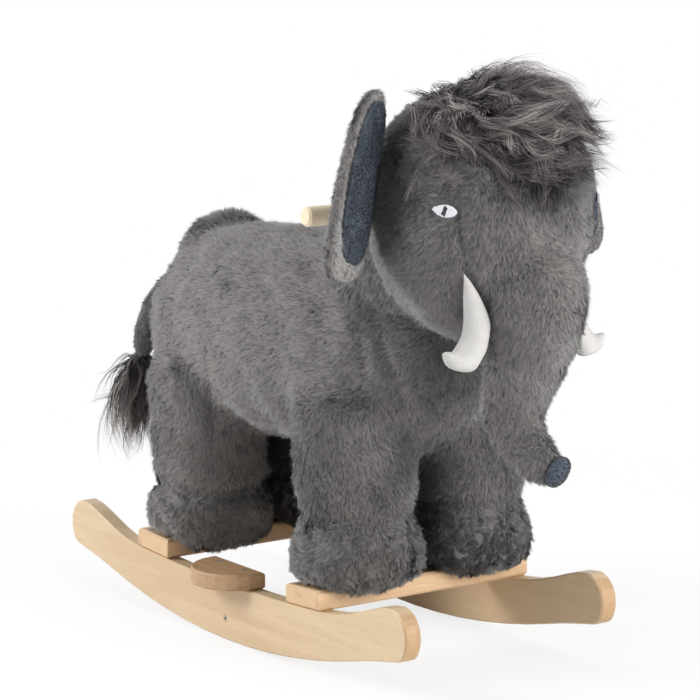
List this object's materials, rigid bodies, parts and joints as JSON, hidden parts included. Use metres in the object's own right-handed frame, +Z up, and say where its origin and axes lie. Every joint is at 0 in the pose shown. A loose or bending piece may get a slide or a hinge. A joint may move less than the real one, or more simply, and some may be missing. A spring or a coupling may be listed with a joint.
{
  "type": "rocking mammoth",
  "caption": "Ride-on plush mammoth with trunk, tusks, shaggy hair and padded backrest, standing on a curved wooden rocker base with foot rests and a handle bar.",
  "frame": {"origin": "on the floor, under the middle of the whole outline", "axes": "+X forward, the way the animal looks, +Y to its left, +Z up"},
  "size_m": [0.7506, 0.3442, 0.6277],
  "materials": {
    "wood": "clear-lacquered light hardwood",
    "inner_wood": "raw sawn wood and plywood, hidden",
    "screw_steel": "dull zinc-plated screws",
    "plush": "short grey plush pile over stuffing",
    "velvet": "blue-grey velvet",
    "long_hair": "long brown-grey faux fur",
    "tusk_cloth": "off-white smooth velour",
    "eye_white": "white satin-stitch embroidery",
    "eye_black": "black satin-stitch embroidery"
  },
  "bodies": {
    "toy": {"rocker_right": "wood", "rocker_left": "wood", "front_slat": "wood", "rear_slat": "wood", "stretcher": "wood", "footrest_right": "wood", "footrest_left": "wood", "slat_screw_front_right_outer": "screw_steel", "slat_screw_front_right_inner": "screw_steel", "slat_screw_front_left_outer": "screw_steel", "slat_screw_front_left_inner": "screw_steel", "slat_screw_rear_right_outer": "screw_steel", "slat_screw_rear_right_inner": "screw_steel", "slat_screw_rear_left_outer": "screw_steel", "slat_screw_rear_left_inner": "screw_steel", "footrest_screw_right_front": "screw_steel", "footrest_screw_right_rear": "screw_steel", "footrest_screw_left_front": "screw_steel", "footrest_screw_left_rear": "screw_steel", "stretcher_screw_right": "screw_steel", "stretcher_screw_left": "screw_steel", "seat_board": "inner_wood", "leg_post_front_right": "inner_wood", "leg_post_front_left": "inner_wood", "leg_post_rear_right": "inner_wood", "leg_post_rear_left": "inner_wood", "leg_bolt_front_right": "screw_steel", "leg_bolt_front_left": "screw_steel", "leg_bolt_rear_right": "screw_steel", "leg_bolt_rear_left": "screw_steel", "neck_post": "inner_wood", "backrest_board": "inner_wood", "handle_bar": "wood", "body": "plush", "leg_front_right": "plush", "leg_front_left": "plush", "leg_rear_right": "plush", "leg_rear_left": "plush", "foot_front_right": "plush", "foot_front_left": "plush", "foot_rear_right": "plush", "foot_rear_left": "plush", "head": "plush", "trunk": "plush", "trunk_pad": "velvet", "tusk_right": "tusk_cloth", "tusk_left": "tusk_cloth", "eye_right": "eye_white", "eye_left": "eye_white", "pupil_right": "eye_black", "pupil_left": "eye_black", "hair": "long_hair", "backrest": "plush"},
    "ear_flap_right": {"ear_right": "plush", "ear_lining_right": "velvet"},
    "ear_flap_left": {"ear_left": "plush", "ear_lining_left": "velvet"},
    "tail_body": {"tail": "plush", "tail_tuft": "long_hair"}
  },
  "joints": [
    {"name": "ear_fold_right", "type": "hinge", "parent": "toy", "child": "ear_flap_right", "pos_m": [0.19708, -0.115, 0.508], "axis": [-0.0748, 0.2301, 0.9703], "range_deg": [-35, 8], "stiffness_Nm_per_rad": 0.6},
    {"name": "ear_fold_left", "type": "hinge", "parent": "toy", "child": "ear_flap_left", "pos_m": [0.19708, 0.115, 0.508], "axis": [0.0748, 0.2301, -0.9703], "range_deg": [-35, 8], "stiffness_Nm_per_rad": 0.6},
    {"name": "tail_lift", "type": "hinge", "parent": "toy", "child": "tail_body", "pos_m": [-0.29492, -0.03, 0.368], "axis": [0, 1, 0], "range_deg": [0, 70]}
  ]
}
